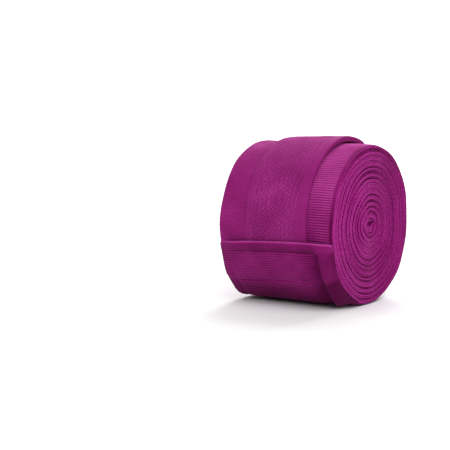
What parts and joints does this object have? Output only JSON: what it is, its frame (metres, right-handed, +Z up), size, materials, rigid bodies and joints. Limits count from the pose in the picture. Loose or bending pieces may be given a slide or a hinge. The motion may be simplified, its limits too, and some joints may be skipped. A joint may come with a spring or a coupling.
{
  "type": "rolled hand wrap",
  "caption": "Ribbed woven hand wrap rolled up on its side, closed by a hook-and-loop tab, with a loop tape strap, a woven label and a thumb loop in the core.",
  "frame": {"origin": "on the table under the middle of the roll's axis", "axes": "+X along the roll's axis, out of the end whose winding the thumb loop curls under; -Y towards the closure tab; +Z up"},
  "size_m": [0.0508, 0.0674, 0.0663],
  "materials": {
    "band": "ribbed woven cotton",
    "loop_tape": "woven nylon",
    "loop_pile": "brushed loop pile",
    "hook_tape": "woven nylon",
    "hooks": "nylon hooks",
    "thread": "polyester thread",
    "label": "damask weave",
    "label_yarn": "silver polyester yarn",
    "label_thread": "black polyester thread"
  },
  "bodies": {
    "roll": {"wound_band": "band", "outer_turn": "band", "loop_tape": "loop_tape", "loop_pile": "loop_pile", "loop_front_stitching": "thread", "loop_back_stitching": "thread", "label": "label", "label_motif": "label_yarn", "label_stitching": "label_thread", "thumb_loop": "loop_tape", "thumb_loop_tacks": "thread"},
    "tail": {"tail_band": "band"},
    "tab": {"tab_band": "band", "end_hem": "band", "hem_stitching": "thread", "hook_tape": "hook_tape", "hook_rows": "hooks", "hook_stitching": "thread"}
  },
  "joints": [
    {"name": "tail_fold", "type": "hinge", "parent": "roll", "child": "tail", "pos_m": [0, -0.01007, 0.00116], "axis": [1, 0, 0], "range_deg": [0, 26]},
    {"name": "tab_fold", "type": "hinge", "parent": "tail", "child": "tab", "pos_m": [0, -0.02658, 0.01063], "axis": [1, 0, 0], "range_deg": [0, 42]}
  ]
}
